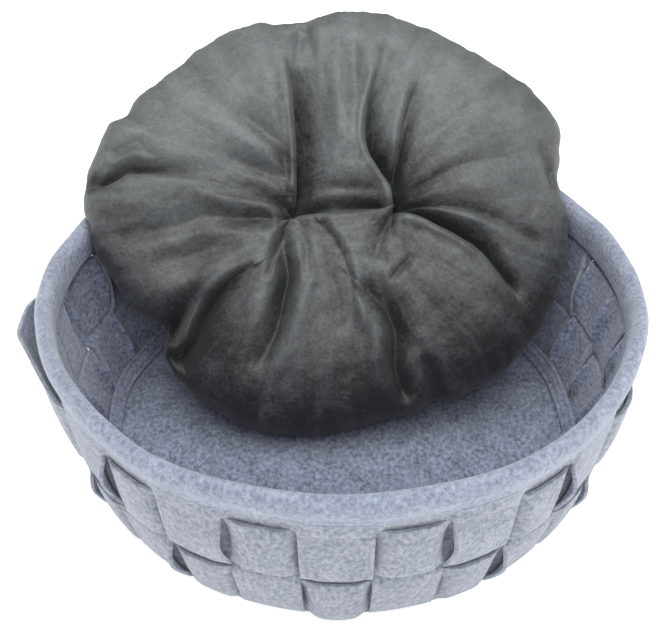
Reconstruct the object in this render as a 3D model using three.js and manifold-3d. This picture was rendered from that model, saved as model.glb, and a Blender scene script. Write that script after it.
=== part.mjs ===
// Dog bed: an open basket of felt strips in plain weave with a rolled rim, and a
// round tufted cushion that leans on the back of the rim.
// Millimetres, +Z up, front towards -Y, origin at the centre of the underside.

import * as THREE from 'three';
import { mergeVertices } from 'three/addons/utils/BufferGeometryUtils.js';
import Module from 'manifold-3d';

const wasm = await Module();
wasm.setup();

// Basket: round, with a wall of 28 tabs and two bands woven through them
const FELT = 3;                // thickness of the felt
const CLEARANCE = 0.3;         // between pieces that touch
const COLUMNS = 28;            // tabs round the wall
const TURN = THREE.MathUtils.degToRad(-0.8);   // of column 0 from the -Y axis
const COLUMN_ANGLE = 2 * Math.PI / COLUMNS;
const CREASE_PLACES = [0, 0.2, 0.8, 1];        // across a column, from slit to slit
const FACETS = CREASE_PLACES.length - 1;
const ROUND_SEGMENTS = 2 * COLUMNS;            // of the floor and the seam band
const FLOOR_FELT = 4;
const FLOOR_RADIUS = 209.3;
const SEAM_BAND = { width: 9, foot: 208.4, head: 210.4 };   // outer radii, low and high
const SLIT_TOP = 134;          // where the slits between the tabs end
const SLIT = 1.2;              // half of a slit's width where it's shut
const GAPE = 2.2;              // and how far it opens beside the middle of a band
const LEAF = 1.6;              // how far an outer tab's edge stands off there
const TAB_INSET = 3.5;         // how far a tab reaches up inside the rim's leg
const STACK = FELT + CLEARANCE;            // band to tab, middle to middle
const BAND_OUT = 3.0;          // radial place of a band where it lies in front of a tab
const BAND_IN = -1.65;         // and where it lies behind one
const BAND_MID = (BAND_OUT + BAND_IN) / 2; // in the slit, on its way through
const RIM_LEG = BAND_IN + STACK;
const RIM_FELT = FELT + 0.6;   // the felt is pulled thicker where it's rolled

// The wall widens upwards, quickly at the foot and slowly at the rim.
const WALL = [
  { z: 0, radius: 211.0 },
  { z: 8, radius: 216.0 },
  { z: 24, radius: 221.5 },
  { z: 64, radius: 231.5 },
  { z: 100, radius: 237.0 },
  { z: 134, radius: 240.8 },
  { z: 160, radius: 243.2 },
];

// How far the rim has sunk under the wall's own weight, by the angle from the -Y
// axis; lower down it's less, by a power of the height.
const SETTLED = [
  { degrees: -180, drop: 0 },
  { degrees: -110, drop: 2 },
  { degrees: -77, drop: 0 },
  { degrees: -58, drop: 0 },
  { degrees: -33, drop: 8.5 },
  { degrees: -12, drop: 5.5 },
  { degrees: 12, drop: 5.5 },
  { degrees: 34, drop: 9 },
  { degrees: 62, drop: 6 },
  { degrees: 76, drop: 1 },
  { degrees: 98, drop: 3 },
  { degrees: 180, drop: 0 },
];
const SETTLED_FROM = 165;      // the height that the drops are for
const SETTLED_POWER = 1.6;

// Middle line of the rim's section, from the outer leg over the roll to the hem
// inside, as offsets from the wall.
const ROLL = [
  { out: RIM_LEG, z: SLIT_TOP },
  { out: RIM_LEG + 1.0, z: 147 },
  { out: 4.6, z: 156 },
  { out: 4.6, z: 162.5 },
  { out: 2.2, z: 167 },
  { out: -1.6, z: 168.2 },
  { out: -5.2, z: 165.4 },
  { out: -7.2, z: 158 },
  { out: -7.6, z: 148 },
  { out: -7.4, z: 139.5 },
];
const ROLL_STEPS = 9;

// The two woven bands. In columns of its parity a band lies in front of the tab.
const BANDS = [
  { name: 'lower_band', bottom: 8, top: 62.5, parity: 0 },
  { name: 'upper_band', bottom: 70.5, top: 130.5, parity: 1 },
];

// Slack of the upper band, in columns from the front: the loop that has slipped
// off its tab at the left, and a slight bulge at the right.
const SLACK = [
  { from: -7.5, peak: -6.7, to: -4.5, bulge: 25 },
  { from: 4.5, peak: 5.0, to: 5.5, bulge: 4 },
];
const SLIPPED_COLUMN = -6;     // the tab here lies behind the band, not over it

// Cushion: two round panels sewn together at the edge and filled
const CUSHION_TILT = THREE.MathUtils.degToRad(46.5);
const CUSHION_CENTRE = new THREE.Vector3(-9, 103, 153);
const CUSHION_AROUND = 48;     // facets round the cushion
const CUSHION_ACROSS = 24;     // and from pole to pole
const CROWN = 56;              // height of its upper side over the seam
const BELLY = 70;              // depth of its lower side
const EDGE_FULLNESS = 2.4;     // power of its section: 2 is an ellipse, more is fuller
const LIFT = { from: -110, to: -215, height: 24 };   // its left edge lies on the rim
const CUSHION_ROOM = 0.8;      // between the cushion and the rim
const FLOOR_ROOM = 0.5;        // and the floor

// Outline of the cushion in its own plane: a radius for each angle, with the
// lobes and the two puckers of its seam.
const OUTLINE = [
  { degrees: 0, radius: 216 },
  { degrees: 10, radius: 211 },
  { degrees: 23, radius: 225 },
  { degrees: 39, radius: 214 },
  { degrees: 50, radius: 204 },
  { degrees: 79, radius: 198 },
  { degrees: 93, radius: 191 },
  { degrees: 99, radius: 186 },
  { degrees: 106, radius: 191 },
  { degrees: 124, radius: 200 },
  { degrees: 136, radius: 200 },
  { degrees: 147, radius: 207 },
  { degrees: 159, radius: 222 },
  { degrees: 174, radius: 220 },
  { degrees: 199, radius: 201 },
  { degrees: 207, radius: 194 },
  { degrees: 214, radius: 178 },
  { degrees: 222, radius: 196 },
  { degrees: 250, radius: 202 },
  { degrees: 285, radius: 188 },
  { degrees: 300, radius: 192 },
  { degrees: 320, radius: 207 },
  { degrees: 345, radius: 217 },
  { degrees: 360, radius: 216 },
];

// The two stitched points that draw the crown in.
const TUFTS = [
  { x: -38, y: 4 },
  { x: 53, y: 6 },
];
const TUFT_DEPTH = 30;
const TUFT_REACH = 26;

// Main folds, as lines across the crown from one point to another.
const FOLDS = [
  { x0: -38, y0: 4, x1: -28, y1: 175, depth: 14, reach: 11 },
  { x0: 53, y0: 6, x1: 78, y1: 120, depth: 9, reach: 10 },
  { x0: 53, y0: 6, x1: 150, y1: -80, depth: 13, reach: 12 },
  { x0: 53, y0: 6, x1: 185, y1: -20, depth: 8, reach: 10 },
  { x0: -38, y0: 4, x1: -190, y1: -20, depth: 7, reach: 12 },
  { x0: -38, y0: 4, x1: -120, y1: -125, depth: 7, reach: 12 },
  { x0: -38, y0: 4, x1: 53, y1: 6, depth: 9, reach: 12 },
];
const FOLD_FADE = 0.7;         // share of its depth that a fold loses on its way out

// Colours
const PRESSED_FELT = '#8d95a8';
const SEAM_FELT = '#969eb0';
const BAND_FELT = '#a3aaba';
const WALL_FELT = '#b2b8c6';
const PLUSH = '#565b5d';

// Piecewise linear reading of a table: rows hold a key and a value.
function readTable(rows, key, value, at) {
  const above = rows.findIndex((row) => row[key] >= at);
  if (above === 0) return rows[0][value];
  if (above < 0) return rows[rows.length - 1][value];
  const low = rows[above - 1];
  const high = rows[above];
  const t = (at - low[key]) / (high[key] - low[key]);
  return THREE.MathUtils.lerp(low[value], high[value], t);
}

function wallRadius(z) {
  return readTable(WALL, 'z', 'radius', z);
}

// Height after the wall has settled.
function settledHeight(vertex) {
  const degrees = THREE.MathUtils.radToDeg(Math.atan2(vertex.x, -vertex.y));
  const share = Math.max(0, vertex.z) / SETTLED_FROM;
  return vertex.z - readTable(SETTLED, 'degrees', 'drop', degrees) * share ** SETTLED_POWER;
}

function columnParity(column) {
  return ((column % 2) + 2) % 2;
}

function inFront(band, column) {
  if (band.name === 'upper_band' && column === SLIPPED_COLUMN) return true;
  return columnParity(column) === band.parity;
}

// 0 in the slits at either side of a column and 1 over its middle part.
function plateau(s) {
  const edge = Math.min(s, 1 - s);
  return Math.min(1, edge / CREASE_PLACES[1]);
}

// Angle from the -Y axis, in columns, with column 0 between -0.5 and 0.5.
function columnAt(angle) {
  let turns = (angle - TURN) / COLUMN_ANGLE;
  turns -= COLUMNS * Math.round(turns / COLUMNS);
  return turns;
}

function slackAt(position) {
  let bulge = 0;
  for (const part of SLACK) {
    if (position <= part.from || position >= part.to) continue;
    const rising = position < part.peak;
    const end = rising ? part.from : part.to;
    const t = (position - end) / (part.peak - end);
    bulge += part.bulge * THREE.MathUtils.smoothstep(t, 0, 1);
  }
  return bulge;
}

// Radial offset of a band's middle surface from the wall's.
function bandOffset(band, position) {
  const column = Math.floor(position + 0.5);
  const s = position + 0.5 - column;
  const here = inFront(band, column);
  const before = inFront(band, column - 1);
  const after = inFront(band, column + 1);
  const level = here ? BAND_OUT : BAND_IN;
  const stays = s < 0.5 ? here === before : here === after;
  const ends = stays ? level : BAND_MID;
  const slack = band.name === 'upper_band' ? slackAt(position) : 0;
  return THREE.MathUtils.lerp(ends, level, plateau(s)) + slack;
}

function felt(colour) {
  return new THREE.MeshStandardMaterial({ color: colour, roughness: 0.95, metalness: 0 });
}

// Leaves only the positions and merges the shared ones, so the surface closes.
function closed(geometry) {
  geometry.deleteAttribute('normal');
  geometry.deleteAttribute('uv');
  return mergeVertices(geometry, 1e-4);
}

// Moves each vertex of a geometry by a function of its place.
function reshape(geometry, place) {
  const positions = geometry.attributes.position;
  const vertex = new THREE.Vector3();
  for (let i = 0; i < positions.count; i += 1) {
    vertex.fromBufferAttribute(positions, i);
    place(vertex);
    positions.setXYZ(i, vertex.x, vertex.y, vertex.z);
  }
  return geometry;
}

// A ring from a closed section in (radius, height), standing on the XY plane.
function ring(section, segments) {
  const points = [...section, section[0]].map(([radius, z]) => new THREE.Vector2(radius, z));
  const geometry = new THREE.LatheGeometry(points, segments);
  geometry.rotateX(Math.PI / 2);
  return geometry;
}

// A ring whose facets meet at the creases of each column, moved out or in by a
// radial offset that depends on the place in columns.
function weaveRing(section, offset) {
  const geometry = ring(section, COLUMNS * FACETS);
  geometry.rotateZ(TURN + COLUMN_ANGLE / 2);
  return reshape(geometry, (vertex) => {
    const radius = Math.hypot(vertex.x, vertex.y);
    const fromSlit = columnAt(Math.atan2(vertex.x, -vertex.y)) + 0.5;
    const step = Math.round(fromSlit * FACETS);
    const column = Math.floor(step / FACETS);
    const position = column + CREASE_PLACES[step - column * FACETS] - 0.5;
    const angle = TURN + position * COLUMN_ANGLE;
    const moved = radius + offset(position);
    vertex.x = moved * Math.sin(angle);
    vertex.y = -moved * Math.cos(angle);
    vertex.z = settledHeight(vertex);
  });
}

function toSolid(geometry) {
  const merged = closed(geometry);
  return new wasm.Manifold(new wasm.Mesh({
    numProp: 3,
    vertProperties: new Float32Array(merged.attributes.position.array),
    triVerts: new Uint32Array(merged.index.array),
  }));
}

function fromSolid(solid) {
  const mesh = solid.getMesh();
  const geometry = new THREE.BufferGeometry();
  geometry.setAttribute('position', new THREE.BufferAttribute(mesh.vertProperties, 3));
  geometry.setIndex(new THREE.BufferAttribute(mesh.triVerts, 1));
  return geometry;
}

function named(name, geometry, material) {
  const mesh = new THREE.Mesh(geometry, material);
  mesh.name = name;
  return mesh;
}

// Floor: one felt disc that the whole basket stands on.
function makeFloor() {
  const size = [FLOOR_RADIUS, FLOOR_RADIUS, FLOOR_FELT];
  const geometry = new THREE.CylinderGeometry(...size, ROUND_SEGMENTS);
  geometry.rotateX(Math.PI / 2);
  geometry.translate(0, 0, FLOOR_FELT / 2);
  return named('floor_panel', closed(geometry), felt(PRESSED_FELT));
}

// Seam band: a narrow strip that covers the joint between the floor and the wall.
function makeSeamBand() {
  const bottom = FLOOR_FELT + CLEARANCE;
  const top = bottom + SEAM_BAND.width;
  const section = [
    [SEAM_BAND.foot - FELT, bottom],
    [SEAM_BAND.foot, bottom],
    [SEAM_BAND.head, top],
    [SEAM_BAND.head - FELT, top],
  ];
  return named('base_seam_band', closed(ring(section, ROUND_SEGMENTS)), felt(SEAM_FELT));
}

// Band: a strip bent into a ring, in and out between the tabs.
function makeBand(band) {
  const middle = (band.bottom + band.top) / 2;
  const half = FELT / 2;
  const levels = [band.bottom, middle, band.top];
  const section = [
    ...levels.map((z) => [wallRadius(z) + half, z]),
    ...levels.reverse().map((z) => [wallRadius(z) - half, z]),
  ];
  const geometry = weaveRing(section, (position) => bandOffset(band, position));
  return named(band.name, closed(geometry), felt(BAND_FELT));
}

// Radial offset of a tab's middle surface beside a band: on its far side where the
// band is in front, over it where the band is behind. The edges spread in a leaf.
function tabOffset(band, column, s, leaf) {
  const front = inFront(band, column);
  const level = front ? BAND_OUT : BAND_IN;
  const spread = 1 - plateau(s);
  const under = THREE.MathUtils.lerp(level, BAND_MID, spread);
  if (front) return under - STACK;
  return under + STACK + LEAF * leaf * spread;
}

// Tab: a strip from the foot of the wall up into the rim, over one band and
// under the other. Each station of its height has a level, the band beside it
// and how far its slits gape there.
function makeTab(column) {
  const [lower, upper] = BANDS;
  const stations = [
    { z: 0.6, band: null, leaf: 0 },
    { z: 4, band: null, leaf: 0 },
    { z: lower.bottom, band: lower, leaf: 0 },
    { z: (lower.bottom + lower.top) / 2, band: lower, leaf: 1 },
    { z: lower.top, band: lower, leaf: 0 },
    { z: upper.bottom, band: upper, leaf: 0 },
    { z: (upper.bottom + upper.top) / 2, band: upper, leaf: 1 },
    { z: upper.top, band: upper, leaf: 0 },
    { z: SLIT_TOP, band: null, leaf: 0, rim: true },
    { z: SLIT_TOP + TAB_INSET, band: null, leaf: 0, rim: true },
  ];
  const last = stations.length - 1;
  const geometry = new THREE.BoxGeometry(1, last, FELT, FACETS, last, 1);
  return reshape(geometry, (vertex) => {
    const station = stations[Math.round(vertex.y + last / 2)];
    const radius = wallRadius(station.z);
    const inset = (SLIT + GAPE * station.leaf) / (radius * COLUMN_ANGLE);
    const place = CREASE_PLACES[Math.round((vertex.x + 0.5) * FACETS)];
    const s = THREE.MathUtils.clamp(place, inset, 1 - inset);
    let offset = station.rim ? RIM_LEG : 0;
    if (station.band) offset = tabOffset(station.band, column, s, station.leaf);
    const angle = TURN + (column + s - 0.5) * COLUMN_ANGLE;
    const moved = radius + offset + vertex.z;
    vertex.x = moved * Math.sin(angle);
    vertex.y = -moved * Math.cos(angle);
    vertex.z = station.z;
    vertex.z = settledHeight(vertex);
  });
}

// The roll's section at a distance to the outside of its middle line.
function rollLine(distance) {
  const middle = ROLL.map((row) => new THREE.Vector2(wallRadius(row.z) + row.out, row.z));
  const curve = new THREE.SplineCurve(middle);
  const line = [];
  for (let i = 0; i <= ROLL_STEPS; i += 1) {
    const point = curve.getPoint(i / ROLL_STEPS);
    const tangent = curve.getTangent(i / ROLL_STEPS);
    line.push([point.x + tangent.y * distance, point.y - tangent.x * distance]);
  }
  return line;
}

// Rim and tabs: one felt sheet, slit into tabs below and folded over into a soft roll
// above.
function makeRimAndTabs() {
  const section = [...rollLine(RIM_FELT / 2), ...rollLine(-RIM_FELT / 2).reverse()];
  let solid = toSolid(weaveRing(section, () => 0));
  for (let column = 0; column < COLUMNS; column += 1) {
    const centred = column >= COLUMNS / 2 ? column - COLUMNS : column;
    solid = solid.add(toSolid(makeTab(centred)));
  }
  return named('rim_and_tabs', fromSolid(solid), felt(WALL_FELT));
}

function valley(fold, x, y) {
  const along = new THREE.Vector2(fold.x1 - fold.x0, fold.y1 - fold.y0);
  const length = along.length();
  const t = ((x - fold.x0) * along.x + (y - fold.y0) * along.y) / (length * length);
  const nearest = THREE.MathUtils.clamp(t, 0, 1);
  const distance = Math.hypot(x - fold.x0 - nearest * along.x, y - fold.y0 - nearest * along.y);
  const fade = 1 - FOLD_FADE * nearest;
  return fold.depth * fade * Math.exp(-((distance / fold.reach) ** 2));
}

// Share of the outline at a step of the sphere: 1 at the seam and 0 at the poles, with
// more of the steps near the seam, where the cushion is rounder.
function spread(polar) {
  const step = polar / (Math.PI / 2);
  return 1 - Math.abs(1 - step) ** 1.6;
}

function drawnIn(x, y) {
  let drawn = 0;
  for (const tuft of TUFTS) {
    const distance = Math.hypot(x - tuft.x, y - tuft.y);
    drawn += TUFT_DEPTH * Math.exp(-((distance / TUFT_REACH) ** 2));
  }
  return Math.max(drawn, ...FOLDS.map((fold) => valley(fold, x, y)));
}

function makeCushion() {
  const geometry = new THREE.SphereGeometry(1, CUSHION_AROUND, CUSHION_ACROSS);
  geometry.rotateX(Math.PI / 2);
  reshape(geometry, (vertex) => {
    const turn = Math.atan2(vertex.y, vertex.x);
    const degrees = (THREE.MathUtils.radToDeg(turn) + 360) % 360;
    const polar = Math.acos(THREE.MathUtils.clamp(vertex.z, -1, 1));
    const share = spread(polar);
    const reach = share * readTable(OUTLINE, 'degrees', 'radius', degrees);
    const x = reach * Math.cos(turn);
    const y = reach * Math.sin(turn);
    const upper = vertex.z > 0;
    const bulge = Math.sqrt(Math.max(0, 1 - share ** EDGE_FULLNESS));
    const height = upper ? CROWN * bulge - drawnIn(x, y) : -BELLY * bulge;
    const lift = LIFT.height * THREE.MathUtils.smoothstep(-x, -LIFT.from, -LIFT.to);
    vertex.set(x, y, height + lift);
  });
  geometry.rotateX(CUSHION_TILT);
  geometry.translate(CUSHION_CENTRE.x, CUSHION_CENTRE.y, CUSHION_CENTRE.z);
  return named('cushion', fromSolid(toSolid(geometry).subtract(basketSpace())), plush());
}

function plush() {
  return new THREE.MeshStandardMaterial({ color: PLUSH, roughness: 0.8, metalness: 0 });
}

// What the cushion can't enter: the floor and the wall with its rim, each a
// little larger than it is.
function basketSpace() {
  const deep = 150;
  const outside = 7.5;
  const roll = rollLine(RIM_FELT / 2 + CUSHION_ROOM);
  const [hemRadius, hemBottom] = roll[roll.length - 1];
  const hemOut = hemRadius - wallRadius(hemBottom) - 2;
  const section = [
    [deep, -1],
    [wallRadius(0) + outside, -1],
    [wallRadius(64) + outside, 64],
    [wallRadius(SLIT_TOP) + outside, SLIT_TOP],
    ...roll,
    [wallRadius(64) + hemOut, 64],
    [wallRadius(24) + hemOut, 24],
    [deep, FLOOR_FELT + 1],
  ];
  const around = reshape(ring(section, ROUND_SEGMENTS), (vertex) => {
    vertex.z = settledHeight(vertex);
  });
  const wall = toSolid(around);
  const slabTop = FLOOR_FELT + FLOOR_ROOM;
  const slabHeight = 40;
  const size = [FLOOR_RADIUS, FLOOR_RADIUS, slabHeight];
  const slab = new THREE.CylinderGeometry(...size, ROUND_SEGMENTS);
  slab.rotateX(Math.PI / 2);
  slab.translate(0, 0, slabTop - slabHeight / 2);
  return wall.add(toSolid(slab));
}

const group = new THREE.Group();
group.add(makeFloor());
group.add(makeSeamBand());
group.add(makeRimAndTabs());
for (const band of BANDS) group.add(makeBand(band));
group.add(makeCushion());

export default group;
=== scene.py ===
import math

import bpy
import numpy as np
from mathutils import Matrix


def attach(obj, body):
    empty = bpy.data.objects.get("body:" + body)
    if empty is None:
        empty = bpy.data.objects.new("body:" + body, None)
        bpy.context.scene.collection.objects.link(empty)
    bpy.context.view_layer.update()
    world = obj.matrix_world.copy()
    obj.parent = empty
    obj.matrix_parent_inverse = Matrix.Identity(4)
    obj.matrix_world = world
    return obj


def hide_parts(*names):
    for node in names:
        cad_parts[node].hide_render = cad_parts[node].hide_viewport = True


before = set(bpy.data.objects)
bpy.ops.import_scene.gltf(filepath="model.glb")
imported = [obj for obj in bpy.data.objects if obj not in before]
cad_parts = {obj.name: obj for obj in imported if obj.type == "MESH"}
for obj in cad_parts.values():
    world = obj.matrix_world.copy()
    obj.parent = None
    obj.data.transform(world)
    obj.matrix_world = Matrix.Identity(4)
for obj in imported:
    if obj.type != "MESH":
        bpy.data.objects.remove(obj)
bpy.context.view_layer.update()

# Floor of the basket: a round panel die-cut from grey-blue needled felt, 4 mm thick,
# that the basket stands on. Its edge is stitched to the foot of the wall and is
# hidden by it; inside, the pressed surface shows its mottled fibres.
FLOOR_RADIUS = 209.3
FLOOR_FELT = 4.0
FELT_MIDDLE = "#7c8294"         # the floor's fibres, lighter and darker
FELT_DEEP = "#363b47"
FELT_FLECK = "#343947"          # darkest tufts and the stitches


def linear(colour):
    """sRGB hex to linear RGBA: the lower part of the curve is a line, the rest a power."""
    channels = [int(colour[i:i + 2], 16) / 255 for i in (1, 3, 5)]
    return [c / 12.92 if c <= 0.04045 else ((c + 0.055) / 1.055) ** 2.4 for c in channels] + [1.0]


def node(tree, kind, inputs=(), **settings):
    """Adds one shader node; an input that is a socket is linked, any other is a value."""
    made = tree.nodes.new("ShaderNode" + kind)
    for key, value in settings.items():
        setattr(made, key, value)
    for key, value in dict(inputs).items():
        if isinstance(value, bpy.types.NodeSocket):
            tree.links.new(value, made.inputs[key])
        else:
            made.inputs[key].default_value = value
    return made


def new_material(name):
    """An empty node material, its tree, and the shader that every finish ends in."""
    material = bpy.data.materials.new(name)
    material.use_nodes = True
    tree = material.node_tree
    tree.nodes.clear()
    shader = node(tree, "BsdfPrincipled")
    node(tree, "OutputMaterial", {"Surface": shader.outputs[0]})
    return material, tree, shader


def cloth_surface(tree, shader, colour, reliefs, settings):
    """Ends a cloth: its colour, its reliefs as height, strength and depth in metres, each
    bump laid on the one before, and the settings of the shader itself."""
    tree.links.new(colour, shader.inputs["Base Color"])
    ground = {}
    for height, strength, depth in reliefs:
        bump = node(tree, "Bump", {
            "Height": height, "Strength": strength, "Distance": depth, **ground})
        ground = {"Normal": bump.outputs[0]}
    tree.links.new(bump.outputs[0], shader.inputs["Normal"])
    for key, value in settings.items():
        shader.inputs[key].default_value = value


def felt_material(name, light, dark, drawn=1.0, relief=1.0, seam=None):
    """Needled felt. Fibres of several greys are carded together and pressed, so the face
    is clouded in patches of a few millimetres that run along the sheet, with darker tufts
    here and there and a matt, slightly downy surface. Drawn stretches the clouds along the
    sheet, relief deepens them, and seam is the height of a row of stitches in metres."""
    material, tree, shader = new_material(name)
    place = node(tree, "UVMap", uv_map="sheet").outputs[0]
    along = node(tree, "Mapping", {0: place, "Scale": (1.1, drawn, 1.0)}).outputs[0]
    # clouds of lighter and darker fibres, 3 to 8 mm
    clouds = node(tree, "TexNoise", {
        "Vector": along, "Scale": 250.0, "Detail": 5.0, "Roughness": 0.7})
    tone = node(tree, "MapRange", {
        "Value": clouds.outputs["Fac"], "From Min": 0.34, "From Max": 0.66})
    # uneven pressing in patches of 1 to 3 cm
    pressing = node(tree, "TexNoise", {"Vector": along, "Scale": 55.0, "Detail": 2.0})
    press = node(tree, "MapRange", {
        "Value": pressing.outputs["Fac"], "From Min": 0.3, "From Max": 0.7,
        "To Min": -0.16, "To Max": 0.16})
    mixed = node(tree, "Math", {0: tone.outputs[0], 1: press.outputs[0]},
                 operation="ADD", use_clamp=True)
    body = node(tree, "Mix", {0: mixed.outputs[0], 6: linear(dark), 7: linear(light)},
                data_type="RGBA")
    # dark tufts, thinner than the clouds and drawn out round the basket
    combed = node(tree, "Mapping", {0: place, "Scale": (0.6, 1.4, 1.0)}).outputs[0]
    tufts = node(tree, "TexNoise", {
        "Vector": combed, "Scale": 450.0, "Detail": 3.0, "Roughness": 0.6, "Distortion": 0.2})
    fleck = node(tree, "MapRange", {
        "Value": tufts.outputs["Fac"], "From Min": 0.58, "From Max": 0.72, "To Max": 0.55})
    flecked = node(tree, "Mix", {
        0: fleck.outputs[0], 6: body.outputs[2], 7: linear(FELT_FLECK)}, data_type="RGBA")
    colour = flecked.outputs[2]
    if seam:
        # a row of stitches that draws a fine line along the sheet, 0.9 mm wide
        across = node(tree, "SeparateXYZ", {0: place}).outputs["Y"]
        row = node(tree, "Math", {0: across, 1: seam, 2: 0.00045}, operation="COMPARE")
        share = node(tree, "Math", {0: row.outputs[0], 1: 0.5}, operation="MULTIPLY")
        colour = node(tree, "Mix", {0: share.outputs[0], 6: colour, 7: linear(FELT_FLECK)},
                      data_type="RGBA").outputs[2]
    # fibre relief, drawn at about 1 mm because the real one of 0.1 mm is too fine to show
    fibre = node(tree, "TexNoise", {
        "Vector": along, "Scale": 900.0, "Detail": 3.0, "Roughness": 0.7})
    cloth_surface(
        tree, shader, colour,
        [(clouds.outputs["Fac"], 0.4 * relief, 0.0012), (fibre.outputs["Fac"], 0.55, 0.0005)],
        {"Roughness": 0.95, "Specular IOR Level": 0.15, "Sheen Weight": 0.35,
         "Sheen Roughness": 0.6, "Sheen Tint": linear("#e8ebf5")})
    return material


def as_piece(name, mesh, materials):
    """The object of a finished mesh: smooth, with its materials, on the part's one body."""
    mesh.shade_smooth()
    for material in materials:
        mesh.materials.append(material)
    piece = bpy.data.objects.new(name, mesh)
    bpy.context.collection.objects.link(piece)
    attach(piece, "root")
    return piece


def new_piece(name, points, faces, materials, uv, parts):
    """A mesh object from points in millimetres and an array of quads; uv holds one pair, in
    metres on the flat sheet, for each corner, and parts the number of each quad's material."""
    mesh = bpy.data.meshes.new(name)
    mesh.vertices.add(len(points))
    mesh.vertices.foreach_set("co", (points * 0.001).ravel())
    mesh.loops.add(faces.size)
    mesh.loops.foreach_set("vertex_index", faces.ravel().astype(np.int32))
    mesh.polygons.add(len(faces))
    mesh.polygons.foreach_set("loop_start", np.arange(0, faces.size, 4, dtype=np.int32))
    mesh.update(calc_edges=True)
    mesh.uv_layers.new(name="sheet").data.foreach_set("uv", uv.ravel())
    piece = as_piece(name, mesh, materials)
    mesh.polygons.foreach_set("material_index", parts.astype(np.int32))
    return piece


def rounded_section(width, height, radius, steps, corner_steps=3):
    """Closed outline of a rectangle with quarter-circle corners, anticlockwise, about its
    middle: corners of a few points, and between them sides in even steps, as many as steps
    gives for the upright and the level ones."""
    half = np.array([width / 2 - radius, height / 2 - radius])
    quarter = np.linspace(0, math.pi / 2, corner_steps + 1)
    line = []
    for turn, (sx, sy) in enumerate([(1, -1), (1, 1), (-1, 1), (-1, -1)]):
        angle = quarter + (turn - 1) * math.pi / 2
        centre = half * (sx, sy)
        line.append(centre + radius * np.stack([np.cos(angle), np.sin(angle)], axis=1))
        after = half * [(1, 1), (-1, 1), (-1, -1), (1, -1)][turn]
        out = np.array([math.cos(angle[-1]), math.sin(angle[-1])]) * radius
        count = steps[turn % 2]
        side = np.linspace(0, 1, count + 1)[1:-1, None]
        line.append(centre + out + (after - centre) * side)
    return np.concatenate(line)


def panel_points(radius, thickness, rings, spokes, edge):
    """Disc with a rounded edge: rings from the middle of the lower face over the edge to
    the middle of the upper one, which waves by up to half a millimetre like laid felt."""
    share = np.linspace(0.0, 1.0, rings) ** 0.9
    round_off = np.linspace(-math.pi / 2, math.pi / 2, 7)
    inner = share[:-1] * (radius - edge)
    reach = np.concatenate([inner, radius - edge + edge * np.cos(round_off), inner[::-1]])
    level = np.concatenate([np.zeros(rings - 1),
                            thickness / 2 + (thickness / 2) * np.sin(round_off),
                            np.full(rings - 1, thickness)])
    angle = np.linspace(0, 2 * math.pi, spokes, endpoint=False)
    reach, level = reach[:, None], level[:, None]
    sag = 0.35 * np.sin(3 * angle + 0.5) * (reach / radius)
    sag = sag + 0.25 * np.sin(7 * angle + 2.0) * (reach / radius) ** 2
    z = level + np.where(level > 0.5, np.abs(sag), 0)
    return np.stack([reach * np.sin(angle), -reach * np.cos(angle), z], axis=2)


def quads(grid):
    """The four corners of each cell of a grid, row by row; they run anticlockwise, and so
    face outwards, where the rows climb and each row runs anticlockwise seen from above."""
    return np.stack([grid[:-1, ..., :-1], grid[:-1, ..., 1:], grid[1:, ..., 1:],
                     grid[1:, ..., :-1]], axis=-1)


def mesh_with_poles(name, points, material, values=()):
    """A closed mesh from a grid of rings. Its first and last ring are joined into one point
    each, so the quads beside them become triangles. Its sheet map is the plan, and each of
    the values becomes an attribute of its points."""
    rings, spokes = points.shape[:2]
    number = np.arange(rings * spokes).reshape(rings, spokes)
    number[0] = number[0, 0]
    number[-1] = number[-1, 0]
    kept, compact = np.unique(number, return_inverse=True)
    merged = points.reshape(-1, 3)[kept]
    round_once = np.pad(compact.reshape(rings, spokes), ((0, 0), (0, 1)), mode="wrap")
    corners = quads(round_once).reshape(-1, 4)
    faces = (corners[:spokes, 1:].tolist() + corners[spokes:-spokes].tolist()
             + corners[-spokes:, :3].tolist())
    mesh = bpy.data.meshes.new(name)
    mesh.from_pydata((merged * 0.001).tolist(), [], faces)
    mesh.update()
    order = np.empty(len(mesh.loops), dtype=np.int32)
    mesh.loops.foreach_get("vertex_index", order)
    plan = merged[order][:, :2] * 0.001
    mesh.uv_layers.new(name="sheet").data.foreach_set("uv", plan.ravel())
    for key, value in dict(values).items():
        kind, field = ("FLOAT", "value") if value.ndim == 1 else ("FLOAT_VECTOR", "vector")
        mesh.attributes.new(key, kind, "POINT").data.foreach_set(field, value[kept].ravel())
    return as_piece(name, mesh, [material])


floor_felt = felt_material("Felt, pressed panel", FELT_MIDDLE, FELT_DEEP, drawn=0.8, relief=1.3)
floor_grid = panel_points(FLOOR_RADIUS, FLOOR_FELT, rings=14, spokes=224, edge=1.4)
floor = mesh_with_poles("floor_felt", floor_grid, floor_felt)
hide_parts("floor_panel")

# Wall of the basket: a felt sheet cut into 28 tabs by upright slits, bent round the
# floor and stitched to it. Each tab goes over one band and under the other, and the
# uncut part above the slits is folded inwards into a soft roll, hemmed inside.
COLUMNS = 28
TURN = math.radians(-0.8)       # of tab 0 from the front
COLUMN_ANGLE = 2 * math.pi / COLUMNS
TAB_LENGTH = COLUMN_ANGLE * 0.240    # metres along the flat sheet from tab to tab
FELT = 3.2                      # thickness of the wall and bands
STACK = 3.4                     # from the middle of a band to the middle of a tab
BAND_OUT = 3.2                  # radial place of a band in front of a tab
BAND_IN = -1.6                  # and behind one
JOIN_OUT = 4.2                  # radial place of the cloth just above a tab that lies in front
JOIN_IN = -1.2                  # and above one that lies behind
SLIT_TOP = 131.8
SLIT = 0.15                     # half of a slit's width where it's shut
GAPE = 1.6                      # how far a tab's edge that faces the front is drawn back
LIFT = 8.0                      # how far that edge stands off the band beneath
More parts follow.
